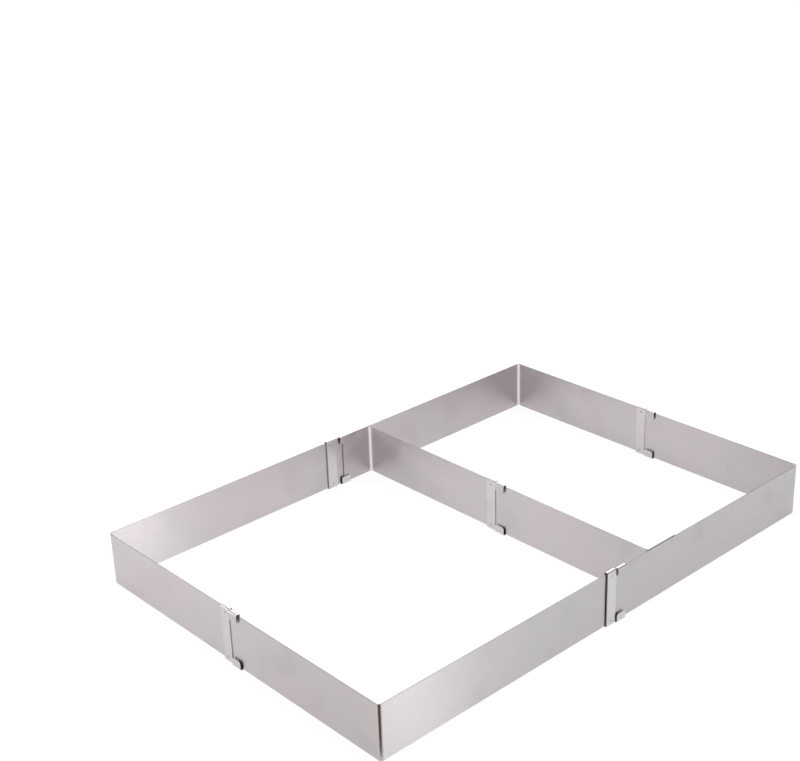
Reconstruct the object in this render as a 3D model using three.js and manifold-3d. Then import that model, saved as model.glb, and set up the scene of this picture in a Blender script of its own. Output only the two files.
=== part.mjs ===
// Adjustable cake frame with a divider: six bent strips of sheet steel that telescope in ten clips.
// Millimetres, +Z up. X runs along the short walls, Y along the long ones, and the front is -Y.
// The frame stands on its clips at Z 0, centred on the origin, and is drawn fully out.
import * as THREE from 'three';
import { mergeVertices } from 'three/addons/utils/BufferGeometryUtils.js';
import Module from 'manifold-3d';

const wasm = await Module();
wasm.setup();

// Frame, outside of the outer strips, fully drawn out
const frameWidth = 360;
const frameLength = 530;

// Strip
const bandHeight = 50;
const bandThickness = 0.6;
const bendRadius = 2.4;
const slideGap = 0.3;

// Divider, with its place behind the end of the front left strip
const dividerBehindJoint = 28.65;
const dividerFlange = 37;

// Clip, a strap folded round both edges of the neighbour strip
const clipWidth = 11;
const clipThickness = 0.6;
const clipSetback = 0.4;
const clipSpacing = 0.8;
const leftWallClipSpacing = 5;
const hookRise = 0.5;
const hookBend = 0.5;
const tabHeight = 8;
const tabCorner = 2;

// Spot weld dimples in a clip
const weldInset = 4.5;
const weldRadius = 1.1;
const weldDepth = 0.2;

// How far a cutting tool runs past what it cuts
const overrun = 1;

// Steps of a curve
const bendSteps = 8;
const hookSteps = 4;
const tabCornerSteps = 5;
const weldSides = 16;
const weldRings = 12;

// Worked out from the sizes above
const lapStep = bandThickness + slideGap;
const hookThroat = 2 * bandThickness + 3 * slideGap;
const clipDepth = 2 * clipThickness + bandThickness + hookThroat;
const clipTop = bandHeight + hookRise + clipThickness;
const clipBottom = -hookRise - clipThickness;
const standHeight = -clipBottom;

const steel = { color: 0xc6bfbe, roughness: 0.34, metalness: 1 };
const clipSteel = { color: 0xd2cccb, roughness: 0.3, metalness: 1 };

// Length of an arm, so that two equal arms bridge a span and lap by both clips and the air between them
function armLength(span, spacing) {
  const lap = 2 * (clipWidth + clipSetback) + spacing;
  return (span + lap) / 2;
}

const shortArm = armLength(frameWidth - lapStep, clipSpacing);
const rightLongArm = armLength(frameLength - lapStep, clipSpacing);
const leftLongArm = armLength(frameLength - lapStep, leftWallClipSpacing);

function solidOf(geometry) {
  const plain = geometry.clone();
  plain.deleteAttribute('normal');
  plain.deleteAttribute('uv');
  const merged = mergeVertices(plain);
  const vertProperties = new Float32Array(merged.attributes.position.array);
  const triVerts = new Uint32Array(merged.index.array);
  return new wasm.Manifold(new wasm.Mesh({ numProp: 3, vertProperties, triVerts }));
}

function geometryOf(solid) {
  const mesh = solid.getMesh();
  const geometry = new THREE.BufferGeometry();
  geometry.setAttribute('position', new THREE.BufferAttribute(mesh.vertProperties, 3));
  geometry.setIndex(new THREE.BufferAttribute(mesh.triVerts, 1));
  geometry.computeVertexNormals();
  return geometry;
}

// A strip bent square, seen from above: its arms run along +X and +Y, with their outer faces on the axes
function bentBand(reachX, reachY) {
  const outer = bendRadius + bandThickness;
  const outline = new THREE.Shape();
  outline.moveTo(outer, 0);
  outline.lineTo(reachX, 0);
  outline.lineTo(reachX, bandThickness);
  outline.lineTo(outer, bandThickness);
  outline.absarc(outer, outer, bendRadius, -Math.PI / 2, -Math.PI, true);
  outline.lineTo(bandThickness, reachY);
  outline.lineTo(0, reachY);
  outline.lineTo(0, outer);
  outline.absarc(outer, outer, outer, Math.PI, 1.5 * Math.PI, false);
  return new THREE.ExtrudeGeometry(outline, {
    depth: bandHeight,
    bevelEnabled: false,
    curveSegments: bendSteps,
  });
}

// Side view of a clip: strap at the left, hooks over both edges, tabs at the right with an open middle
function clipOutline() {
  const outer = hookBend + clipThickness;
  const tabInside = clipDepth - clipThickness;
  const strapBend = outer;
  const tabBend = clipDepth - outer;
  const topBend = clipTop - outer;
  const bottomBend = clipBottom + outer;
  const outline = new THREE.Shape();
  outline.moveTo(tabInside, clipBottom + tabHeight);
  outline.lineTo(tabInside, bottomBend);
  outline.absarc(tabBend, bottomBend, hookBend, 0, -Math.PI / 2, true);
  outline.lineTo(strapBend, bottomBend - hookBend);
  outline.absarc(strapBend, bottomBend, hookBend, -Math.PI / 2, -Math.PI, true);
  outline.lineTo(clipThickness, topBend);
  outline.absarc(strapBend, topBend, hookBend, Math.PI, Math.PI / 2, true);
  outline.lineTo(tabBend, topBend + hookBend);
  outline.absarc(tabBend, topBend, hookBend, Math.PI / 2, 0, true);
  outline.lineTo(tabInside, clipTop - tabHeight);
  outline.lineTo(clipDepth, clipTop - tabHeight);
  outline.lineTo(clipDepth, topBend);
  outline.absarc(tabBend, topBend, outer, 0, Math.PI / 2, false);
  outline.lineTo(strapBend, clipTop);
  outline.absarc(strapBend, topBend, outer, Math.PI / 2, Math.PI, false);
  outline.lineTo(0, bottomBend);
  outline.absarc(strapBend, bottomBend, outer, Math.PI, 1.5 * Math.PI, false);
  outline.lineTo(tabBend, clipBottom);
  outline.absarc(tabBend, bottomBend, outer, -Math.PI / 2, 0, false);
  outline.lineTo(clipDepth, clipBottom + tabHeight);
  return outline;
}

// What is cut off to round one free corner of a tab: a square less a quarter disc
function tabCornerCutter() {
  const outline = new THREE.Shape();
  outline.moveTo(0, tabCorner);
  outline.absarc(tabCorner, tabCorner, tabCorner, Math.PI, 1.5 * Math.PI, false);
  outline.lineTo(tabCorner, -overrun);
  outline.lineTo(-overrun, -overrun);
  outline.lineTo(-overrun, tabCorner);
  const geometry = new THREE.ExtrudeGeometry(outline, {
    depth: clipThickness + 2 * overrun,
    bevelEnabled: false,
    curveSegments: tabCornerSteps,
  });
  geometry.rotateX(Math.PI / 2);
  geometry.rotateZ(Math.PI / 2);
  geometry.translate(clipDepth - clipThickness - overrun, 0, 0);
  return geometry;
}

// A shallow round dimple is the end of a large ball
function weldBall() {
  const ballRadius = (weldRadius ** 2 + weldDepth ** 2) / (2 * weldDepth);
  const geometry = new THREE.SphereGeometry(ballRadius, weldSides, weldRings);
  geometry.rotateZ(Math.PI / 2);
  geometry.translate(weldDepth - ballRadius, -clipWidth / 2, 0);
  return geometry;
}

// One clip: strap's outer face at X 0, hooks reaching towards +X, width running from Y 0 back
function clipSolid() {
  const body = new THREE.ExtrudeGeometry(clipOutline(), {
    depth: clipWidth,
    bevelEnabled: false,
    curveSegments: hookSteps,
  });
  body.rotateX(Math.PI / 2);
  let solid = solidOf(body);
  const cutter = solidOf(tabCornerCutter());
  for (const side of [1, -1]) {
    for (const end of [1, -1]) {
      const y = side > 0 ? -clipWidth : 0;
      const z = end > 0 ? clipTop - tabHeight : clipBottom + tabHeight;
      solid = solid.subtract(cutter.scale([1, side, end]).translate([0, y, z]));
    }
  }
  const ball = solidOf(weldBall());
  for (const z of [clipTop - weldInset, clipBottom + weldInset]) {
    solid = solid.subtract(ball.translate([0, 0, z]));
  }
  return solid;
}

const clipGeometry = geometryOf(clipSolid());

function namedMesh(name, geometry, finish) {
  const mesh = new THREE.Mesh(geometry, new THREE.MeshStandardMaterial(finish));
  mesh.name = name;
  return mesh;
}

// A clip at the end of the X arm laps inside: strap on the inner face, hooks outwards
function innerLapClip(name, reach) {
  const clip = namedMesh(name, clipGeometry, clipSteel);
  clip.rotation.z = -Math.PI / 2;
  clip.position.set(reach - clipSetback, bandThickness + clipThickness, 0);
  return clip;
}

// A clip at the end of the Y arm laps outside: strap on the outer face, hooks inwards
function outerLapClip(name, reach) {
  const clip = namedMesh(name, clipGeometry, clipSteel);
  clip.position.set(-clipThickness, reach - clipSetback, 0);
  return clip;
}

function placed(group, x, y, quarterTurns) {
  group.position.set(x, y, standHeight);
  group.rotation.z = quarterTurns * Math.PI / 2;
  return group;
}

// A corner of the frame: the X arm laps inside its neighbour, the Y arm outside
function corner(bandName, innerClipName, outerClipName, reachX, reachY) {
  const group = new THREE.Group();
  group.add(namedMesh(bandName, bentBand(reachX, reachY), steel));
  group.add(innerLapClip(innerClipName, reachX));
  group.add(outerLapClip(outerClipName, reachY));
  return group;
}

// Half of the divider: the X arm is the plain flange on the wall, the Y arm crosses the frame
function dividerHalf(bandName, clipName, reach) {
  const group = new THREE.Group();
  group.add(namedMesh(bandName, bentBand(dividerFlange, reach), steel));
  group.add(outerLapClip(clipName, reach));
  return group;
}

const halfWidth = frameWidth / 2;
const halfLength = frameLength / 2;
const cakeFrame = new THREE.Group();

// The four corners turn like a pinwheel: one arm in the outer layer, the other one layer in
const frontLeft = corner(
  'corner_band_front_left',
  'slide_clip_front_wall_left_band',
  'slide_clip_left_wall_front_band',
  shortArm,
  leftLongArm,
);
const frontRight = corner(
  'corner_band_front_right',
  'slide_clip_right_wall_front_band',
  'slide_clip_front_wall_right_band',
  rightLongArm,
  shortArm,
);
const backRight = corner(
  'corner_band_back_right',
  'slide_clip_back_wall_right_band',
  'slide_clip_right_wall_back_band',
  shortArm,
  rightLongArm,
);
const backLeft = corner(
  'corner_band_back_left',
  'slide_clip_left_wall_back_band',
  'slide_clip_back_wall_left_band',
  leftLongArm,
  shortArm,
);
cakeFrame.add(placed(frontLeft, -halfWidth, lapStep - halfLength, 0));
cakeFrame.add(placed(frontRight, halfWidth - lapStep, -halfLength, 1));
cakeFrame.add(placed(backRight, halfWidth, halfLength - lapStep, 2));
cakeFrame.add(placed(backLeft, lapStep - halfWidth, halfLength, 3));

// The divider's flanges lie on the inner faces: two layers in at the left wall, one at the right
const dividerLeftFace = lapStep + lapStep - halfWidth;
const dividerRightFace = halfWidth - lapStep;
const dividerArm = armLength(dividerRightFace - dividerLeftFace, clipSpacing);
const frontLeftEnd = lapStep + leftLongArm - halfLength;
const dividerPlane = frontLeftEnd + dividerBehindJoint;
const dividerHalfLap = bandThickness + slideGap / 2;
const dividerLeft = dividerHalf('divider_band_left', 'slide_clip_divider_left_band', dividerArm);
const dividerRight = dividerHalf('divider_band_right', 'slide_clip_divider_right_band', dividerArm);
cakeFrame.add(placed(dividerLeft, dividerLeftFace, dividerPlane + dividerHalfLap, -1));
cakeFrame.add(placed(dividerRight, dividerRightFace, dividerPlane - dividerHalfLap, 1));

export default cakeFrame;
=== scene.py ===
# %% [markdown]
# # An adjustable cake frame in satin steel
# The real object is six strips of thin stainless sheet. Four are bent square and make the corners, two more
# make a divider, and each free end carries a folded clip that grips the next strip, so the frame telescopes.
# The imported CAD model says where every piece is and how it moves. It is loaded first, and each new piece is
# later set into the box of the part that it stands for. Nothing that is added here may reach out of it.

# %% Load the imported model
import math

import bmesh
import bpy
from mathutils import Matrix, Vector


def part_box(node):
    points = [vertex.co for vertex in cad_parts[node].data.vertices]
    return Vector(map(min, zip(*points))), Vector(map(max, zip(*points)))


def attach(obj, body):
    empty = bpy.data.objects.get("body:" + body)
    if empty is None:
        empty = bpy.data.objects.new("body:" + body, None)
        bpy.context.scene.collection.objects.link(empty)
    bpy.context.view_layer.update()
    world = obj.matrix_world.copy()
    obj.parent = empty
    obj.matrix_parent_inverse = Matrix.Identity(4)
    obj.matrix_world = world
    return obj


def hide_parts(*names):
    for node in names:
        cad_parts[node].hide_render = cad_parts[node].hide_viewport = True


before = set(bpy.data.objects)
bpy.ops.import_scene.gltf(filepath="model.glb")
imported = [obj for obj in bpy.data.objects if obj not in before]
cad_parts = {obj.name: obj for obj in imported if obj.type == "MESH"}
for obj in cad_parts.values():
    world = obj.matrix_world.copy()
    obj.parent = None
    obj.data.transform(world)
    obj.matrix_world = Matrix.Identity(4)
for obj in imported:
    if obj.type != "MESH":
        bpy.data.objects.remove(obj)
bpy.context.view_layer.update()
MM = 0.001

# %% [markdown]
# ## The camera
# A photograph of a long rectangular frame gives its own camera away: the way its sides close in on each
# other gives the distance and the lens, and the slope of its corners gives the tilt. A camera could also be
# placed by eye, but a few millimetres of error show at once on straight edges, so solved numbers are used.

# %% Place the camera
PHOTO_WIDTH = 800
FOCAL_LENGTH_PIXELS = 1464.9
SENSOR_WIDTH = 36
CAMERA_PLACE = Vector((845.08, -830.01, 685.33)) * MM
CAMERA_TURN = math.radians(-48.129)
CAMERA_TILT = math.radians(23.514)
CAMERA_ROLL = math.radians(-2.03)
NEAREST_SEEN = 50 * MM


def camera_rotation(turn, tilt, roll):
    """The rotation of a camera that looks along a compass turn, tilted down and rolled."""
    level = math.cos(tilt)
    forward = Vector((math.sin(turn) * level, math.cos(turn) * level, -math.sin(tilt)))
    side = forward.cross(Vector((0, 0, 1))).normalized()
    rise = side.cross(forward)
    right = math.cos(roll) * side + math.sin(roll) * rise
    up = math.cos(roll) * rise - math.sin(roll) * side
    return Matrix((right, up, -forward)).transposed().to_euler()


bpy.ops.object.select_all(action="DESELECT")
bpy.ops.object.camera_add(
    location=CAMERA_PLACE,
    rotation=camera_rotation(CAMERA_TURN, CAMERA_TILT, CAMERA_ROLL),
)
camera = bpy.context.object
camera.data.sensor_fit = "HORIZONTAL"
camera.data.sensor_width = SENSOR_WIDTH
camera.data.lens = FOCAL_LENGTH_PIXELS * SENSOR_WIDTH / PHOTO_WIDTH
camera.data.clip_start = NEAREST_SEEN
bpy.context.scene.camera = camera
print("lens, mm:", round(camera.data.lens, 2))

# %% [markdown]
# ## Working by hand, in code
# Modelling by hand means selecting something and then using a tool on it. Two small helpers do the selecting:
# one makes a single object active, and one picks the points or edges of a mesh by where they are. All the
# shaping after that is done by Blender's own tools.

# %% Helpers for selecting
CLOSE = 0.01 * MM


def select_only(obj):
    bpy.ops.object.select_all(action="DESELECT")
    obj.select_set(True)
    bpy.context.view_layer.objects.active = obj


def pick(obj, kind, wanted):
    """In edit mode, select the points or edges whose corners all pass the test."""
    bpy.ops.mesh.select_mode(type=kind)
    bpy.ops.mesh.select_all(action="DESELECT")
    mesh = bmesh.from_edit_mesh(obj.data)
    for item in mesh.verts if kind == "VERT" else mesh.edges:
        corners = [item.co] if kind == "VERT" else [v.co for v in item.verts]
        if all(wanted(point) for point in corners):
            item.select_set(True)
    mesh.select_flush_mode()
    bmesh.update_edit_mesh(obj.data)


def near(value, target):
    return abs(value - target) < CLOSE


print("picking finds points within, mm:", CLOSE / MM)

# %% [markdown]
# ## Sheet metal: give it thickness, then break its edges
# A real strip is cut from sheet by a shear. The shear leaves square edges, which are then tumbled or brushed
# until they no longer cut a hand. A box could be modelled at its full thickness, but sheet is easier as one
# thin skin that is folded first and thickened last, as in the workshop, because then every fold keeps the
# same thickness. The thickened rim gets a material slot of its own, since a cut edge is duller than the face,
# and the sheared finish put there is also darkened as painted shade for the gaps beside the rims.

# %% Lay a flat skin
def flat_skin(name, width, height, place, turn=(0, 0, 0)):
    """A plane of a real size, with its place and turn in its mesh. A quarter turn about X faces it to -Y."""
    bpy.ops.object.select_all(action="DESELECT")
    bpy.ops.mesh.primitive_plane_add(size=1, location=place, rotation=turn)
    obj = bpy.context.object
    obj.name = name
    obj.scale = (width, height, 1)
    bpy.ops.object.transform_apply(location=True, rotation=True, scale=True)
    return obj


# %% Turn a folded skin into sheet
SHEET = 0.6 * MM
EDGE_BREAK = 0.07 * MM
EDGE_BREAK_STEPS = 2
SHARP_FROM = math.radians(24)
BEVEL_FROM = math.radians(50)
RIM_SLOT = 1


def apply_modifier(obj, kind, **settings):
    select_only(obj)
    bpy.ops.object.modifier_add(type=kind)
    modifier = obj.modifiers[-1]
    for name, value in settings.items():
        setattr(modifier, name, value)
    bpy.ops.object.modifier_apply(modifier=modifier.name)


def thicken(obj):
    """Grow the skin inwards, away from its faces' fronts, with the rim in the second material slot."""
    apply_modifier(
        obj, "SOLIDIFY", thickness=SHEET, offset=-1, use_even_offset=True,
        material_offset_rim=RIM_SLOT,
    )


def finish_edges(obj):
    """Break the sharp edges, then shade folds smooth and flats flat."""
    apply_modifier(
        obj, "BEVEL", width=EDGE_BREAK, segments=EDGE_BREAK_STEPS, limit_method="ANGLE",
        angle_limit=BEVEL_FROM,
    )
    select_only(obj)
    bpy.ops.object.shade_smooth_by_angle(angle=SHARP_FROM)
    apply_modifier(obj, "WEIGHTED_NORMAL", keep_sharp=True)


print("sheet, mm:", round(SHEET / MM, 2))

# %% [markdown]
# ## The brushed grain
# Stainless sheet for kitchenware is ground with a belt, which leaves fine lines along the strip and faint
# clouds where the belt pressed more or less. An image of scratches would repeat and has one fixed size, so
# the lines are noise that is stretched along the strip. Five finishes use it, so it is a node group, which
# gives out only values from 0 to 1 and leaves the colours to each material.

# %% Small helpers for wiring nodes
def add_node(tree, kind, place, **settings):
    node = tree.nodes.new(kind)
    node.location = place
    for name, value in settings.items():
        setattr(node, name, value)
    return node


def set_inputs(node, **values):
    for name, value in values.items():
        node.inputs[name.replace("_", " ")].default_value = value
    return node


def map_range(tree, place, **limits):
    return set_inputs(add_node(tree, "ShaderNodeMapRange", place), **limits)


def new_group(name, inputs, outputs):
    """An empty node group with named sockets: returns its tree, its input node and its output node."""
    tree = bpy.data.node_groups.new(name, "ShaderNodeTree")
    for socket, kind, default in inputs:
        made = tree.interface.new_socket(socket, in_out="INPUT", socket_type=kind)
        if default is not None:
            made.default_value = default
    for socket, kind in outputs:
        tree.interface.new_socket(socket, in_out="OUTPUT", socket_type=kind)
    start = add_node(tree, "NodeGroupInput", (-900, 0))
    end = add_node(tree, "NodeGroupOutput", (700, 0))
    return tree, start, end


def place_group(tree, group, place):
    return add_node(tree, "ShaderNodeGroup", place, node_tree=group)


# %% Build the brushed grain group
grain, grain_in, grain_out = new_group(
    "brushed_grain",
    [
        ("Position", "NodeSocketVector", None),
        ("Lines per metre", "NodeSocketVector", (20, 20, 1000)),
        ("Clouds per metre", "NodeSocketFloat", 14.0),
    ],
    [("Lines", "NodeSocketFloat"), ("Clouds", "NodeSocketFloat")],
)
stretch = add_node(grain, "ShaderNodeMapping", (-650, 100))
line_noise = set_inputs(
    add_node(grain, "ShaderNodeTexNoise", (-400, 100)), Scale=1.0, Detail=2.0, Roughness=0.6
)
cloud_noise = set_inputs(add_node(grain, "ShaderNodeTexNoise", (-400, -200)), Detail=3.0, Roughness=0.55)
line_range = map_range(grain, (-100, 100), From_Min=0.3, From_Max=0.7)
cloud_range = map_range(grain, (-100, -200), From_Min=0.3, From_Max=0.7)
grain.links.new(grain_in.outputs["Position"], stretch.inputs["Vector"])
grain.links.new(grain_in.outputs["Lines per metre"], stretch.inputs["Scale"])
grain.links.new(stretch.outputs["Vector"], line_noise.inputs["Vector"])
grain.links.new(grain_in.outputs["Position"], cloud_noise.inputs["Vector"])
grain.links.new(grain_in.outputs["Clouds per metre"], cloud_noise.inputs["Scale"])
grain.links.new(line_noise.outputs["Fac"], line_range.inputs["Value"])
grain.links.new(cloud_noise.outputs["Fac"], cloud_range.inputs["Value"])
grain.links.new(line_range.outputs["Result"], grain_out.inputs["Lines"])
grain.links.new(cloud_range.outputs["Result"], grain_out.inputs["Clouds"])
print("group:", grain.name)

# %% [markdown]
# ## Hand marks
# Bare steel shows where it was held: dull oval patches a few centimetres across, with blurred rims. They
# could be painted by hand, but then they would sit in one place only. Here a slow noise is cut off high, so
# that only its peaks show, and a finer noise breaks the patches up.

# %% Build the hand mark group
marks, marks_in, marks_out = new_group(
    "hand_marks",
    [("Position", "NodeSocketVector", None), ("Patches per metre", "NodeSocketFloat", 22.0)],
    [("Marks", "NodeSocketFloat")],
)
patch_noise = set_inputs(add_node(marks, "ShaderNodeTexNoise", (-600, 100)), Detail=1.5, Roughness=0.5)
patch_cut = map_range(marks, (-350, 100), From_Min=0.56, From_Max=0.7)
break_noise = set_inputs(
    add_node(marks, "ShaderNodeTexNoise", (-600, -150)), Scale=260.0, Detail=3.0, Roughness=0.7
)
break_cut = map_range(marks, (-350, -150), From_Min=0.35, From_Max=0.65, To_Min=0.45)
both = add_node(marks, "ShaderNodeMath", (-50, 0), operation="MULTIPLY")
marks.links.new(marks_in.outputs["Position"], patch_noise.inputs["Vector"])
marks.links.new(marks_in.outputs["Patches per metre"], patch_noise.inputs["Scale"])
marks.links.new(marks_in.outputs["Position"], break_noise.inputs["Vector"])
marks.links.new(patch_noise.outputs["Fac"], patch_cut.inputs["Value"])
marks.links.new(break_noise.outputs["Fac"], break_cut.inputs["Value"])
marks.links.new(patch_cut.outputs["Result"], both.inputs[0])
marks.links.new(break_cut.outputs["Result"], both.inputs[1])
marks.links.new(both.outputs["Value"], marks_out.inputs["Marks"])
print("group:", marks.name)

# %% [markdown]
# ## Satin steel
# Ground steel is a mirror with grooves. It stays fairly sharp along the grooves and is smeared across them,
# which the Principled shader calls anisotropy. A plain rough metal would look like cast zinc, and a polished
# one like a mirror. The same recipe makes five finishes: the strips, the brighter clips with their grooves
# running up and down, the dull rim that the shear left, darkened far below real steel as painted shade for
# the gaps beside the rims, the smoother long rim of the slit strip, and the folds, meaning the hollow of a
# strip's bend and a clip's hooks, which the press tools have rubbed smoother and which are made brighter than
# the steel as a painted highlight.

# %% Small helpers for materials
def new_material(name):
    material = bpy.data.materials.new(name)
    material.use_nodes = True
    return material, material.node_tree


def mix_colour(tree, place, blend, factor):
    node = add_node(tree, "ShaderNodeMix", place, data_type="RGBA", blend_type=blend)
    node.inputs["Factor"].default_value = factor
    return node


# %% The recipe for satin steel
GRAIN_ROUGHNESS = 0.008
HAND_ROUGHNESS = 0.015
HAND_SHADE = 0.93
GROOVE_STRENGTH = 0.025
GROOVE_DEPTH = 0.01 * MM
NEARLY_FLAT = 0.01 * MM


def satin_steel(
    name, warm, cool, roughness, lines_per_metre, contrast, spread=0.0, groove_turn=0.0, waviness=NEARLY_FLAT
):
    """A steel finish. contrast is how far the grain darkens it, waviness how far it is from flat."""
    material, tree = new_material(name)
    shader = tree.nodes["Principled BSDF"]
    shader.inputs["Metallic"].default_value = 1.0
    shader.inputs["Anisotropic"].default_value = spread
    shader.inputs["Anisotropic Rotation"].default_value = groove_turn
    where = add_node(tree, "ShaderNodeTexCoord", (-1500, 0))
    lines = place_group(tree, grain, (-1200, 200))
    lines.inputs["Lines per metre"].default_value = lines_per_metre
    hands = place_group(tree, marks, (-1200, -200))
    tint = mix_colour(tree, (-850, 300), "MIX", 0.5)
    tint.inputs["A"].default_value = (*warm, 1)
    tint.inputs["B"].default_value = (*cool, 1)
    shade = map_range(tree, (-850, 50), To_Min=1 - contrast, To_Max=1.0)
    ground = mix_colour(tree, (-550, 250), "MULTIPLY", 1.0)
    smear = map_range(tree, (-850, -200), To_Min=1.0, To_Max=HAND_SHADE)
    dull = mix_colour(tree, (-300, 250), "MULTIPLY", 1.0)
    rough = map_range(
        tree, (-550, -100), To_Min=roughness - GRAIN_ROUGHNESS, To_Max=roughness + GRAIN_ROUGHNESS
    )
    rougher = add_node(tree, "ShaderNodeMath", (-300, -100), operation="MULTIPLY_ADD")
    rougher.inputs[1].default_value = HAND_ROUGHNESS
    waves = set_inputs(add_node(tree, "ShaderNodeBump", (-550, -350)), Strength=1.0, Distance=waviness)
    bump = set_inputs(
        add_node(tree, "ShaderNodeBump", (-300, -350)), Strength=GROOVE_STRENGTH, Distance=GROOVE_DEPTH
    )
    link = tree.links.new
    link(where.outputs["Object"], lines.inputs["Position"])
    link(where.outputs["Object"], hands.inputs["Position"])
    link(lines.outputs["Clouds"], tint.inputs["Factor"])
    link(lines.outputs["Lines"], shade.inputs["Value"])
    link(tint.outputs["Result"], ground.inputs["A"])
    link(shade.outputs["Result"], ground.inputs["B"])
    link(hands.outputs["Marks"], smear.inputs["Value"])
    link(ground.outputs["Result"], dull.inputs["A"])
    link(smear.outputs["Result"], dull.inputs["B"])
    link(dull.outputs["Result"], shader.inputs["Base Color"])
    link(lines.outputs["Lines"], rough.inputs["Value"])
    link(hands.outputs["Marks"], rougher.inputs[0])
    link(rough.outputs["Result"], rougher.inputs[2])
    link(rougher.outputs["Value"], shader.inputs["Roughness"])
    link(lines.outputs["Clouds"], waves.inputs["Height"])
    link(waves.outputs["Normal"], bump.inputs["Normal"])
    link(lines.outputs["Lines"], bump.inputs["Height"])
    link(bump.outputs["Normal"], shader.inputs["Normal"])
    print("finish:", name)
    return material


# %% Mix the five finishes
ALONG_STRIP = (18, 18, 4200)
UP_AND_DOWN = (2200, 2200, 40)
ALL_WAYS = (300, 300, 300)
band_steel = satin_steel(
    "satin_band_steel", warm=(0.70, 0.65, 0.653), cool=(0.68, 0.648, 0.658), roughness=0.28,
    lines_per_metre=ALONG_STRIP, contrast=0.04, spread=1.0, groove_turn=0.25, waviness=0.12 * MM,
)
clip_steel = satin_steel(
    "satin_clip_steel", warm=(0.756, 0.72, 0.717), cool=(0.738, 0.717, 0.72), roughness=0.27,
    lines_per_metre=UP_AND_DOWN, contrast=0.05, spread=0.4,
)
# The sheared rim: a dull cut edge, darkened to near black as painted shade for the gaps beside it
sheared_edge_painted_shade = satin_steel(
    "sheared_edge_painted_shade", warm=(0.09, 0.083, 0.082), cool=(0.06, 0.057, 0.058), roughness=0.36,
    lines_per_metre=ALL_WAYS, contrast=0.2,
)
slit_edge = satin_steel(
    "slit_edge", warm=(0.52, 0.48, 0.475), cool=(0.46, 0.44, 0.44), roughness=0.36,
    lines_per_metre=ALL_WAYS, contrast=0.1,
)
# The folds: smoother than the steel, and brighter than it as a painted highlight
fold_painted_highlight = satin_steel(
    "fold_painted_highlight", warm=(0.95, 0.9, 0.9), cool=(0.92, 0.89, 0.9), roughness=0.16,
    lines_per_metre=UP_AND_DOWN, contrast=0.04,
)

# %% [markdown]
# ## Where the tabs have rubbed
# The clips' tabs run along the top and the bottom of the strips, and every time the frame is set to another
# size they polish a few hair lines there. Scratches could be cut into the mesh, but they are far thinner than
# the sheet's own unevenness, so brighter lines in the colour are enough. They stay inside the tabs' height.

# %% Rub the strips
RUB_MIDDLE = 26.1 * MM
RUB_INNER = 17.5 * MM
RUB_OUTER = 19.5 * MM
HAIR_LINES = (5, 5, 3600)
RUB_STRENGTH = 0.35
RUBBED = (0.86, 0.83, 0.83, 1)


def last_colour(material):
    """The socket that colours the metal now, and the input that it goes into."""
    target = material.node_tree.nodes["Principled BSDF"].inputs["Base Color"]
    return target.links[0].from_socket, target


def add_rub(material):
    tree = material.node_tree
    colour, target = last_colour(material)
    where = add_node(tree, "ShaderNodeTexCoord", (-1500, 700))
    split = add_node(tree, "ShaderNodeSeparateXYZ", (-1250, 850))
    offset = add_node(tree, "ShaderNodeMath", (-1050, 850), operation="SUBTRACT")
    offset.inputs[1].default_value = RUB_MIDDLE
    height = add_node(tree, "ShaderNodeMath", (-850, 850), operation="ABSOLUTE")
    zone = map_range(tree, (-650, 850), From_Min=RUB_INNER, From_Max=RUB_OUTER)
    stretch = add_node(tree, "ShaderNodeMapping", (-1250, 600))
    stretch.inputs["Scale"].default_value = HAIR_LINES
    hairs = set_inputs(add_node(tree, "ShaderNodeTexNoise", (-1050, 600)), Scale=1.0, Detail=1.0)
    cut = map_range(tree, (-850, 600), From_Min=0.66, From_Max=0.74)
    both = add_node(tree, "ShaderNodeMath", (-450, 700), operation="MULTIPLY")
    amount = add_node(tree, "ShaderNodeMath", (-250, 700), operation="MULTIPLY")
    amount.inputs[1].default_value = RUB_STRENGTH
    polish = mix_colour(tree, (-50, 500), "MIX", 0.0)
    polish.inputs["B"].default_value = RUBBED
    link = tree.links.new
    link(where.outputs["Object"], split.inputs["Vector"])
    link(split.outputs["Z"], offset.inputs[0])
    link(offset.outputs["Value"], height.inputs[0])
    link(height.outputs["Value"], zone.inputs["Value"])
    link(where.outputs["Object"], stretch.inputs["Vector"])
    link(stretch.outputs["Vector"], hairs.inputs["Vector"])
    link(hairs.outputs["Fac"], cut.inputs["Value"])
    link(zone.outputs["Result"], both.inputs[0])
    link(cut.outputs["Result"], both.inputs[1])
    link(both.outputs["Value"], amount.inputs[0])
    link(amount.outputs["Value"], polish.inputs["Factor"])
    link(colour, polish.inputs["A"])
    link(polish.outputs["Result"], target)


add_rub(band_steel)
print("rubbed:", band_steel.name)

# %% [markdown]
# ## The strips
# Each corner of the frame is one strip that a press brake has bent square over a small radius. The divider's
# halves are the same with one short arm, a flange that lies on the wall. A sweep along a path would do, but
# folding is closer to the real work: lay out one arm, pull the second arm from its end, and round the fold.
# The real flange stands a little off the wall, and a dark slit shows between them. These walls are straight,
# so the flange lies close to them, and its long rims get the sheared ends' painted shade instead, which
# reads alike. At three ends on the inner faces no dark line shows, so there the end rim gets the smoother
# long-rim finish instead of the painted shade. The hollow of each fold gets a painted highlight.

# %% Model one bent strip
BAND_HEIGHT = 50 * MM
BEND_OUTSIDE = 3.0 * MM
BEND_STEPS = 12
LONG_RIM_SLOT, FOLD_SLOT = 2, 3
HOLLOW_TILT = 0.05
FLANGE_UP_TO = 60 * MM


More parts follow.
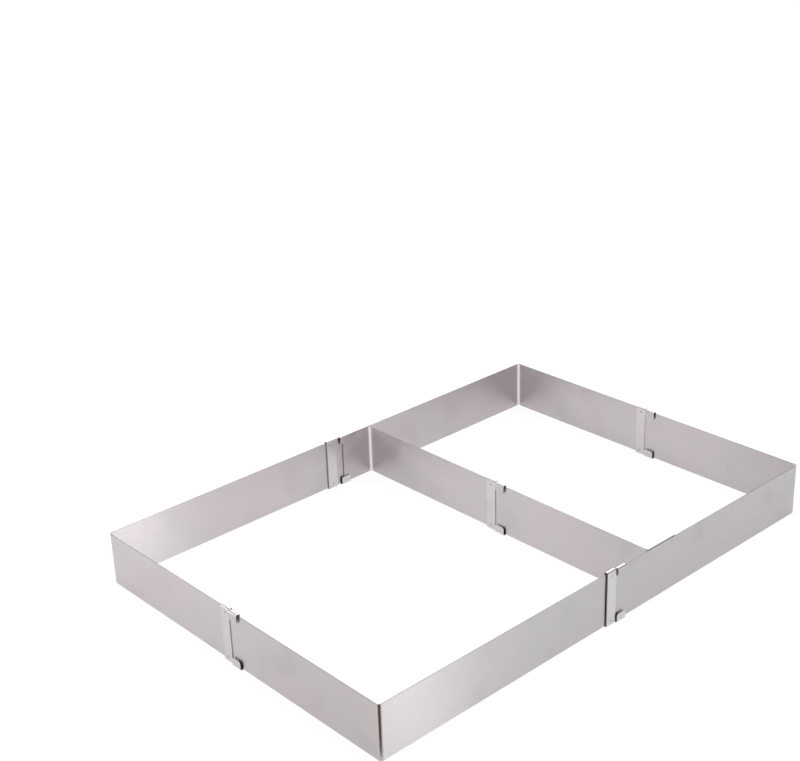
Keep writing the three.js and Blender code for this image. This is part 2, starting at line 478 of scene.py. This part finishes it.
def bent_strip(name, reach_x, reach_y, unshaded_end):
    """Arms along +X and +Y, with their outer faces on the axes and the fold at the origin."""
    # On a short arm, the flange, the long rims keep the painted shade of the sheared finish
    shaded_rims_below = SHEET if reach_x < FLANGE_UP_TO else 0
    middle = (reach_x / 2, 0, BAND_HEIGHT / 2)
    obj = flat_skin(name, reach_x, BAND_HEIGHT, middle, (math.pi / 2, 0, 0))
    bpy.ops.object.mode_set(mode="EDIT")
    pick(obj, "EDGE", lambda p: near(p.x, 0))
    bpy.ops.mesh.extrude_region_move(TRANSFORM_OT_translate={"value": (0, reach_y, 0)})
    pick(obj, "EDGE", lambda p: near(p.x, 0) and near(p.y, 0))
    bpy.ops.mesh.bevel(offset=BEND_OUTSIDE, segments=BEND_STEPS, affect="EDGES")
    bpy.ops.object.mode_set(mode="OBJECT")
    for finish in (band_steel, sheared_edge_painted_shade, slit_edge, fold_painted_highlight):
        obj.data.materials.append(finish)
    thicken(obj)
    # Rims keep the sheared finish with its painted shade, except the long rims off the flange and the
    # unshaded ends, which get the slit finish, and the fold's hollow, which gets the painted highlight
    for face in obj.data.polygons:
        if near(abs(face.normal.z), 1) and face.center.y > shaded_rims_below:
            face.material_index = LONG_RIM_SLOT
        elif unshaded_end and near(face.center.x, reach_x):
            face.material_index = LONG_RIM_SLOT
        elif min(face.normal.x, face.normal.y) > HOLLOW_TILT:
            face.material_index = FOLD_SLOT
    finish_edges(obj)
    return obj


# %% Move a piece onto its CAD node
def size_of(obj):
    """Lowest corner and highest corner of a mesh, in its own axes."""
    corners = [v.co for v in obj.data.vertices]
    low = Vector(min(c[i] for c in corners) for i in range(3))
    high = Vector(max(c[i] for c in corners) for i in range(3))
    return low, high


def put_on_node(obj, node, quarter_turns):
    """Turn the mesh and move it onto its CAD node, corner to corner, and say how well it fits."""
    obj.data.transform(Matrix.Rotation(quarter_turns * math.pi / 2, 4, "Z"))
    low, high = size_of(obj)
    node_low, node_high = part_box(node)
    obj.data.transform(Matrix.Translation((node_low + node_high - low - high) / 2))
    misfit = max(abs(a - b) for a, b in zip(high - low, node_high - node_low))
    print(f"{node}: {len(obj.data.polygons)} faces, misfit {misfit / MM:.3f} mm")


# %% Place the six strips
# Each row: the CAD node, the body that it rides on, and how many quarter turns it is turned by
STRIPS = [
    ("corner_band_front_left", "front_left_corner", 0),
    ("corner_band_front_right", "front_right_corner", 1),
    ("corner_band_back_right", "back_right_corner", 2),
    ("corner_band_back_left", "back_left_corner", 3),
    ("divider_band_left", "divider_left_half", 3),
    ("divider_band_right", "divider_right_half", 1),
]
# At these ends no dark line shows, so the end rim gets the long rim's finish instead of the painted shade
UNSHADED_ENDS = {"corner_band_back_left", "divider_band_left", "divider_band_right"}
for node, body, quarter_turns in STRIPS:
    low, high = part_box(node)
    across, along = (high - low).x, (high - low).y
    reach_x, reach_y = (across, along) if quarter_turns % 2 == 0 else (along, across)
    strip = bent_strip("formed_" + node, reach_x, reach_y, node in UNSHADED_ENDS)
    put_on_node(strip, node, quarter_turns)
    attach(strip, body)
    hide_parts(node)

# %% [markdown]
# ## The clips
# A clip is a narrow strap of the same sheet. It lies across the end of its own strip, is held there by two
# spot welds, and folds over the top and the bottom edge of the neighbour, where it ends in two small tabs
# with rounded corners. It could be cut from a block, but pulling one edge after the other follows the blank
# as it is folded. The welds leave shallow round pits, which a large ball cuts best. Fingers push on the
# upper tabs whenever the frame is set, so these have lost their brightness and are as satin as the strips.
# On three clips no dark line shows beside the strap, so there its sides are as bright as its face.

# %% Model one clip
CLIP_WIDTH = 11 * MM
CLIP_DEPTH = 3.9 * MM
CLIP_LOW = -1.1 * MM
CLIP_HIGH = 51.1 * MM
FOLD_OUTSIDE = 1.1 * MM
FOLD_STEPS = 6
TAB_HEIGHT = 8 * MM
TAB_CORNER = 2 * MM
TAB_CORNER_STEPS = 6
UPPER_TAB_SLOT, STRAP_SIDE_SLOT, HOOK_SLOT = 2, 3, 4
HOOK_TILT = 0.5


def folded_clip():
    """Strap's outer face at X 0, hooks towards +X, and the width from Y 0 back."""
    middle = (0, -CLIP_WIDTH / 2, (CLIP_LOW + CLIP_HIGH) / 2)
    quarter = math.pi / 2
    obj = flat_skin("first_clip", CLIP_WIDTH, CLIP_HIGH - CLIP_LOW, middle, (quarter, 0, -quarter))
    bpy.ops.object.mode_set(mode="EDIT")
    for end, way in ((CLIP_HIGH, -1), (CLIP_LOW, 1)):
        pick(obj, "EDGE", lambda p: near(p.x, 0) and near(p.z, end))
        bpy.ops.mesh.extrude_region_move(TRANSFORM_OT_translate={"value": (CLIP_DEPTH, 0, 0)})
        bpy.ops.mesh.extrude_region_move(TRANSFORM_OT_translate={"value": (0, 0, way * TAB_HEIGHT)})
    for end in (CLIP_HIGH, CLIP_LOW):
        for side in (0, CLIP_DEPTH):
            pick(obj, "EDGE", lambda p: near(p.z, end) and near(p.x, side))
            bpy.ops.mesh.bevel(offset=FOLD_OUTSIDE, segments=FOLD_STEPS, affect="EDGES")
    for end in (CLIP_HIGH - TAB_HEIGHT, CLIP_LOW + TAB_HEIGHT):
        pick(obj, "VERT", lambda p: near(p.z, end) and near(p.x, CLIP_DEPTH))
        bpy.ops.mesh.bevel(offset=TAB_CORNER, segments=TAB_CORNER_STEPS, affect="VERTICES")
    bpy.ops.object.mode_set(mode="OBJECT")
    for finish in (clip_steel, sheared_edge_painted_shade, band_steel, slit_edge, fold_painted_highlight):
        obj.data.materials.append(finish)
    thicken(obj)
    # Hook tops and bottoms get the fold finish with its painted highlight; other rims keep the sheared finish
    # with its painted shade, except the lower tab's top and the strap's sides
    for face in obj.data.polygons:
        if abs(face.normal.z) > HOOK_TILT and not 0 < face.center.z < BAND_HEIGHT:
            face.material_index = HOOK_SLOT
        if face.normal.z > HOOK_TILT and near(face.center.z, CLIP_LOW + TAB_HEIGHT):
            face.material_index = STRAP_SIDE_SLOT
        if near(face.center.x, CLIP_DEPTH) and face.center.z > BAND_HEIGHT / 2:
            face.material_index = UPPER_TAB_SLOT
        elif near(abs(face.normal.y), 1) and face.center.x < SHEET:
            face.material_index = STRAP_SIDE_SLOT
    return obj


# %% Press the two weld marks
WELD_INSET = 4.5 * MM
WELD_RADIUS = 1.1 * MM
WELD_DEPTH = 0.2 * MM
WELD_SIDES = 32
WELD_RINGS = 40
WELD_HEIGHTS = (CLIP_HIGH - WELD_INSET, CLIP_LOW + WELD_INSET)


def press_weld_marks(clip):
    ball_radius = (WELD_RADIUS ** 2 + WELD_DEPTH ** 2) / (2 * WELD_DEPTH)
    for height in WELD_HEIGHTS:
        bpy.ops.object.select_all(action="DESELECT")
        bpy.ops.mesh.primitive_uv_sphere_add(
            segments=WELD_SIDES,
            ring_count=WELD_RINGS,
            radius=ball_radius,
            location=(WELD_DEPTH - ball_radius, -CLIP_WIDTH / 2, height),
            rotation=(0, math.pi / 2, 0),
        )
        ball = bpy.context.object
        apply_modifier(clip, "BOOLEAN", object=ball, operation="DIFFERENCE", solver="EXACT")
        bpy.data.objects.remove(ball)


first_clip = folded_clip()
press_weld_marks(first_clip)
finish_edges(first_clip)
print("one clip:", len(first_clip.data.polygons), "faces")

# %% [markdown]
# ## Heat round the welds
# A spot weld discolours bright steel: the pit itself goes grey, and a straw-coloured ring fades out round it.
# The tint has to sit on the pits wherever a clip goes, so it needs a map that moves with the clip. The strap
# is laid out flat in that map at one scale, and the tabs are laid beside it, where no tint falls.

# %% Lay the clip out flat
MAP_SIZE = CLIP_HIGH - CLIP_LOW
TAB_SHIFT = 0.4

clip_map = first_clip.data.uv_layers.active or first_clip.data.uv_layers.new(name="UVMap")
for face in first_clip.data.polygons:
    shift = TAB_SHIFT if face.center.x > SHEET else 0
    for corner in face.loop_indices:
        point = first_clip.data.vertices[first_clip.data.loops[corner].vertex_index].co
        clip_map.data[corner].uv = (-point.y / MAP_SIZE + shift, (point.z - CLIP_LOW) / MAP_SIZE)
print("flat map:", clip_map.name)

# %% Tint the welds
RING_RADIUS = 2.4 * MM
PIT_SHARE = WELD_RADIUS / MAP_SIZE
PIT_FLOOR_SHARE = PIT_SHARE * 0.6
RING_SHARE = RING_RADIUS / MAP_SIZE
RING_STRENGTH, PIT_STRENGTH = 0.2, 0.65
STRAW = (0.6, 0.53, 0.5, 1)
BURNT_GREY = (0.3, 0.27, 0.29, 1)


def add_weld_tint(material):
    tree = material.node_tree
    colour, target = last_colour(material)
    flat = add_node(tree, "ShaderNodeUVMap", (-1500, 900), uv_map=clip_map.name)
    distances = []
    for step, height in enumerate(WELD_HEIGHTS):
        away = add_node(tree, "ShaderNodeVectorMath", (-1250, 1000 - 200 * step), operation="DISTANCE")
        away.inputs[1].default_value = (CLIP_WIDTH / 2 / MAP_SIZE, (height - CLIP_LOW) / MAP_SIZE, 0)
        tree.links.new(flat.outputs["UV"], away.inputs[0])
        distances.append(away.outputs["Value"])
    nearest = add_node(tree, "ShaderNodeMath", (-1000, 900), operation="MINIMUM")
    ring = map_range(tree, (-750, 1000), From_Min=RING_SHARE, From_Max=PIT_SHARE, To_Max=RING_STRENGTH)
    pit = map_range(tree, (-750, 750), From_Min=PIT_SHARE, From_Max=PIT_FLOOR_SHARE, To_Max=PIT_STRENGTH)
    straw = mix_colour(tree, (-500, 800), "MIX", 0.0)
    straw.inputs["B"].default_value = STRAW
    grey = mix_colour(tree, (-250, 800), "MIX", 0.0)
    grey.inputs["B"].default_value = BURNT_GREY
    link = tree.links.new
    link(distances[0], nearest.inputs[0])
    link(distances[1], nearest.inputs[1])
    link(nearest.outputs["Value"], ring.inputs["Value"])
    link(nearest.outputs["Value"], pit.inputs["Value"])
    link(colour, straw.inputs["A"])
    link(ring.outputs["Result"], straw.inputs["Factor"])
    link(straw.outputs["Result"], grey.inputs["A"])
    link(pit.outputs["Result"], grey.inputs["Factor"])
    link(grey.outputs["Result"], target)


add_weld_tint(clip_steel)
print("tinted:", clip_steel.name)

# %% Copy the clip to its ten places
# Each row: the CAD node, the body that it rides on, and how many quarter turns it is turned by
CLIPS = [
    ("slide_clip_front_wall_left_band", "front_left_corner", 3),
    ("slide_clip_left_wall_front_band", "front_left_corner", 0),
    ("slide_clip_right_wall_front_band", "front_right_corner", 0),
    ("slide_clip_front_wall_right_band", "front_right_corner", 1),
    ("slide_clip_back_wall_right_band", "back_right_corner", 1),
    ("slide_clip_right_wall_back_band", "back_right_corner", 2),
    ("slide_clip_left_wall_back_band", "back_left_corner", 2),
    ("slide_clip_back_wall_left_band", "back_left_corner", 3),
    ("slide_clip_divider_left_band", "divider_left_half", 3),
    ("slide_clip_divider_right_band", "divider_right_half", 1),
]
TIGHT_STRAPS = {
    "slide_clip_back_wall_right_band",
    "slide_clip_divider_left_band",
    "slide_clip_left_wall_back_band",
}
for node, body, quarter_turns in CLIPS:
    clip = first_clip.copy()
    clip.data = first_clip.data.copy()
    clip.name = "formed_" + node
    if node in TIGHT_STRAPS:
        clip.data.materials[STRAP_SIDE_SLOT] = clip_steel
    bpy.context.scene.collection.objects.link(clip)
    put_on_node(clip, node, quarter_turns)
    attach(clip, body)
    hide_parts(node)
bpy.data.objects.remove(first_clip)

# %% [markdown]
# ## The floor
# The frame stands on a white sweep, as for a catalogue. The camera sees it as nearly plain white, with a
# share of real shading that keeps the soft shadow. Steel has hardly a colour of its own, so how bright the
# floor is in its mirror is set apart from how bright the camera sees it. The mirrored floor is also a little
# warm among the walls, dimmer before the back wall, where two walls keep light away, and cool outside,
# towards the window, as a daylit room tints it. One darker floor for both would do the same to the steel, but
# the picture would lose its white ground.

# %% Tell the ways of seeing apart
def by_sight(tree, place, seen, mirrored, otherwise):
    """A value for camera rays, one for mirror and see-through rays, and one for scattered light."""
    path = add_node(tree, "ShaderNodeLightPath", place)
    steps = [("Is Glossy Ray", mirrored), ("Is Transmission Ray", mirrored), ("Is Camera Ray", seen)]
    value = None
    for step, (ray, amount) in enumerate(steps):
        beside = (place[0] + 200 * (step + 1), place[1])
        choose = add_node(tree, "ShaderNodeMix", beside, data_type="FLOAT")
        tree.links.new(path.outputs[ray], choose.inputs["Factor"])
        if value is None:
            choose.inputs["A"].default_value = otherwise
        else:
            tree.links.new(value, choose.inputs["A"])
        if isinstance(amount, bpy.types.NodeSocket):
            tree.links.new(amount, choose.inputs["B"])
        else:
            choose.inputs["B"].default_value = amount
        value = choose.outputs["Result"]
    return value


print("ways of seeing: camera, mirror, scattered light")

# %% Tint the floor in the mirror
WHITE = (1, 1, 1, 1)
WARM_LIGHT = (1.02, 0.98, 0.98, 1)
COOL_LIGHT = (0.95, 0.975, 1.0, 1)
COOL_FROM = 170 * MM
COOL_TO = 190 * MM
SHADED_LIGHT = (0.91, 0.875, 0.875, 1)
SHADE_FROM_X, SHADE_TO_X = -130 * MM, -60 * MM
SHADE_FROM_Y, SHADE_TO_Y = 150 * MM, 200 * MM


def mirrored_tint(tree, place):
    """White for the camera; in a mirror, warm in the frame, dimmer at its back, cool by the window."""
    where = add_node(tree, "ShaderNodeTexCoord", place)
    split = add_node(tree, "ShaderNodeSeparateXYZ", (place[0] + 200, place[1]))
    side = map_range(tree, (place[0] + 400, place[1]), From_Min=COOL_FROM, From_Max=COOL_TO)
    tint = mix_colour(tree, (place[0] + 600, place[1]), "MIX", 0.0)
    tint.inputs["B"].default_value = COOL_LIGHT
    rightwards = map_range(tree, (place[0], place[1] - 300), From_Min=SHADE_FROM_X, From_Max=SHADE_TO_X)
    backwards = map_range(tree, (place[0], place[1] - 600), From_Min=SHADE_FROM_Y, From_Max=SHADE_TO_Y)
    deep = add_node(tree, "ShaderNodeMath", (place[0] + 200, place[1] - 400), operation="MULTIPLY")
    shade = mix_colour(tree, (place[0] + 400, place[1] - 400), "MIX", 0.0)
    shade.inputs["A"].default_value = WARM_LIGHT
    shade.inputs["B"].default_value = SHADED_LIGHT
    path = add_node(tree, "ShaderNodeLightPath", (place[0] + 600, place[1] - 300))
    shown = mix_colour(tree, (place[0] + 800, place[1]), "MIX", 0.0)
    shown.inputs["A"].default_value = WHITE
    tree.links.new(where.outputs["Object"], split.inputs["Vector"])
    tree.links.new(split.outputs["X"], side.inputs["Value"])
    tree.links.new(split.outputs["X"], rightwards.inputs["Value"])
    tree.links.new(split.outputs["Y"], backwards.inputs["Value"])
    tree.links.new(rightwards.outputs["Result"], deep.inputs[0])
    tree.links.new(backwards.outputs["Result"], deep.inputs[1])
    tree.links.new(deep.outputs["Value"], shade.inputs["Factor"])
    tree.links.new(shade.outputs["Result"], tint.inputs["A"])
    tree.links.new(side.outputs["Result"], tint.inputs["Factor"])
    tree.links.new(tint.outputs["Result"], shown.inputs["B"])
    tree.links.new(path.outputs["Is Glossy Ray"], shown.inputs["Factor"])
    return shown.outputs["Result"]


print("cool from X, mm:", round(COOL_FROM / MM), "to", round(COOL_TO / MM))

# %% Lay the floor
FLOOR_DROP = 0.2 * MM
FLOOR_SIZE = 12
FLOOR_GREY = (0.92, 0.92, 0.92, 1)


def floor_white():
    material, tree = new_material("floor_white")
    tree.nodes.remove(tree.nodes["Principled BSDF"])
    paper = add_node(tree, "ShaderNodeBsdfDiffuse", (-300, -100))
    paper.inputs["Color"].default_value = FLOOR_GREY
    plain = add_node(tree, "ShaderNodeEmission", (-300, -300))
    tree.links.new(mirrored_tint(tree, (-1200, -600)), plain.inputs["Color"])
    glow = by_sight(tree, (-1200, -300), seen=1.06, mirrored=0.86, otherwise=0.9)
    share = by_sight(tree, (-1200, 150), seen=0.82, mirrored=0.75, otherwise=0.0)
    tree.links.new(glow, plain.inputs["Strength"])
    mix = add_node(tree, "ShaderNodeMixShader", (0, 0))
    tree.links.new(share, mix.inputs["Fac"])
    tree.links.new(paper.outputs["BSDF"], mix.inputs[1])
    tree.links.new(plain.outputs["Emission"], mix.inputs[2])
    tree.links.new(mix.outputs["Shader"], tree.nodes["Material Output"].inputs["Surface"])
    return material


floor = flat_skin("studio_floor", FLOOR_SIZE, FLOOR_SIZE, (0, 0, -FLOOR_DROP))
floor.data.materials.append(floor_white())
print("floor below the frame, mm:", round(FLOOR_DROP / MM, 2))

# %% [markdown]
# ## The light
# Steel shows what is round it, so the room matters more than the lamps. The tent looks white to the camera
# and dim in the steel, whose walls then mirror mostly the white floor, a little dimmed by the room above it.
# Higher up it is paler, or the clips' tops would be black from most sides. A soft box at the right stands
# close, so only the front ends of the long walls mirror it. One behind whitens the clips' tops, and a panel
# close at the front left lifts the front wall. A far window gives the cool side some shape. One lamp alone
# would leave bare steel black beside one hot streak.

# %% Light the tent
LOW_SKY, HIGH_SKY = 0.15, 0.3
DIM_SKY, PALE_SKY = 0.1, 0.3


def mirrored_sky(tree, place):
    """How bright the tent is in a mirror: dim near the floor, and paler from about 9 to 17 degrees up."""
    where = add_node(tree, "ShaderNodeTexCoord", place)
    split = add_node(tree, "ShaderNodeSeparateXYZ", (place[0] + 200, place[1]))
    rise = map_range(
        tree, (place[0] + 400, place[1]),
        From_Min=LOW_SKY, From_Max=HIGH_SKY, To_Min=DIM_SKY, To_Max=PALE_SKY,
    )
    tree.links.new(where.outputs["Generated"], split.inputs["Vector"])
    tree.links.new(split.outputs["Z"], rise.inputs["Value"])
    return rise.outputs["Result"]


world = bpy.data.worlds.new("studio_tent")
world.use_nodes = True
sky = world.node_tree
tent = sky.nodes["Background"]
tent.inputs["Color"].default_value = WHITE
tent_strength = by_sight(
    sky, (-1000, 0), seen=1.0, mirrored=mirrored_sky(sky, (-1700, 0)), otherwise=0.95
)
sky.links.new(tent_strength, tent.inputs["Strength"])
bpy.context.scene.world = world
print("tent:", world.name)

# %% Hang the lamps
# Each row: name, place, what it is aimed at, width and height in metres, and power in watts
LAMPS = [
    ("soft_box_overhead", (-0.2, 0.1, 2.2), (0, 0, 0), 2.0, 2.0, 9.0),
    ("soft_box_right", (1.05, 0.37, 0.45), (0, -0.25, 0), 0.07, 0.25, 2.3),
    ("soft_box_behind", (-1.3, 1.19, 0.94), (0, 0, 0), 1.1, 0.7, 2.7),
    ("panel_front_left", (-0.65, -0.69, 0.31), (0.05, -0.1, 0), 0.43, 0.3, 0.88),
]
for name, place, aim, width, height, power in LAMPS:
    direction = Vector(aim) - Vector(place)
    turn = direction.to_track_quat("-Z", "Y").to_euler()
    bpy.ops.object.light_add(type="AREA", location=place, rotation=turn)
    lamp = bpy.context.object
    lamp.name = name
    lamp.data.shape = "RECTANGLE"
    lamp.data.size = width
    lamp.data.size_y = height
    lamp.data.energy = power
    print("lamp:", name)

# %% Open the far window
WINDOW_DIRECTION = Vector((0.8, 0.52, 0.3))
WINDOW_WIDTH = math.radians(9)
WINDOW_POWER = 0.09
bpy.ops.object.light_add(type="SUN", rotation=WINDOW_DIRECTION.to_track_quat("Z", "Y").to_euler())
window = bpy.context.object
window.name = "far_window"
window.data.angle = WINDOW_WIDTH
window.data.energy = WINDOW_POWER
bpy.context.scene.view_settings.view_transform = "Standard"
print("lamp:", window.name)

# %% [markdown]
# ## A dark corner for the bend
# A rounded fold mirrors everything from the panel at the left to the soft box at the right, squeezed into a
# few millimetres, and between them the dark room behind the camera. That is why a bent edge of bright sheet
# shows as a thin dark line. A painted line would stay put when the frame is turned, so the room is really
# there: a brown cloth that fans out from the nearest fold and rises at its far end, hidden from the camera.

# %% Lay out the dark cloth
CLOTH_START = Vector((184, -269, 1)) * MM
CLOTH_TURN = math.radians(-40)
CLOTH_LENGTH = 700 * MM
CLOTH_NEAR_WIDTH = 9 * MM
CLOTH_FAR_WIDTH = 1300 * MM
CLOTH_RISE = 260 * MM
CLOTH_BROWN = (0.085, 0.04, 0.008, 1)
CLOTH_ROUGHNESS = 0.9


def show_in_mirrors_only(obj):
    obj.visible_camera = False
    obj.visible_diffuse = False
    obj.visible_shadow = False


cloth_brown, cloth_tree = new_material("cloth_brown")
cloth_shader = cloth_tree.nodes["Principled BSDF"]
set_inputs(cloth_shader, Base_Color=CLOTH_BROWN, Roughness=CLOTH_ROUGHNESS)

cloth = flat_skin("dark_cloth", CLOTH_LENGTH, CLOTH_FAR_WIDTH, (CLOTH_LENGTH / 2, 0, 0))
bpy.ops.object.mode_set(mode="EDIT")
pick(cloth, "EDGE", lambda p: near(p.x, 0))
bpy.ops.transform.resize(value=(1, CLOTH_NEAR_WIDTH / CLOTH_FAR_WIDTH, 1))
pick(cloth, "EDGE", lambda p: near(p.x, CLOTH_LENGTH))
bpy.ops.mesh.extrude_region_move(TRANSFORM_OT_translate={"value": (0, 0, CLOTH_RISE)})
bpy.ops.object.mode_set(mode="OBJECT")
cloth.data.transform(Matrix.Translation(CLOTH_START) @ Matrix.Rotation(CLOTH_TURN, 4, "Z"))
cloth.data.materials.append(cloth_brown)
show_in_mirrors_only(cloth)
print("cloth faces:", len(cloth.data.polygons))

# %% [markdown]
# ## A pale card for the inner corners
# Two walls that meet square send light back the way it came, so an inner corner mirrors what is behind the
# camera. A pale card over the front corner keeps it from going black there. A lamp would also light the floor
# and the walls, so it is a glowing card with one side, which only mirrors can see.

# %% Hang the pale card
CARD_PLACE = Vector((85, -120, 60)) * MM
CARD_TURN = math.radians(-135)
CARD_WIDTH = 280 * MM
CARD_HEIGHT = 400 * MM
CARD_GLOW = 0.8

card_pale, card_tree = new_material("card_pale")
card_tree.nodes.remove(card_tree.nodes["Principled BSDF"])
card_glow = add_node(card_tree, "ShaderNodeEmission", (-300, 0))
card_glow.inputs["Strength"].default_value = CARD_GLOW
card_clear = add_node(card_tree, "ShaderNodeBsdfTransparent", (-300, -200))
card_side = add_node(card_tree, "ShaderNodeNewGeometry", (-300, 250))
card_mix = add_node(card_tree, "ShaderNodeMixShader", (0, 0))
card_tree.links.new(card_side.outputs["Backfacing"], card_mix.inputs["Fac"])
card_tree.links.new(card_glow.outputs["Emission"], card_mix.inputs[1])
card_tree.links.new(card_clear.outputs["BSDF"], card_mix.inputs[2])
card_tree.links.new(card_mix.outputs["Shader"], card_tree.nodes["Material Output"].inputs["Surface"])

card = flat_skin("pale_card", CARD_WIDTH, CARD_HEIGHT, (0, 0, CARD_HEIGHT / 2), (math.pi / 2, 0, 0))
card.data.transform(Matrix.Translation(CARD_PLACE) @ Matrix.Rotation(CARD_TURN, 4, "Z"))
card.data.materials.append(card_pale)
show_in_mirrors_only(card)
print("the card faces:", [round(part, 2) for part in card.data.polygons[0].normal])
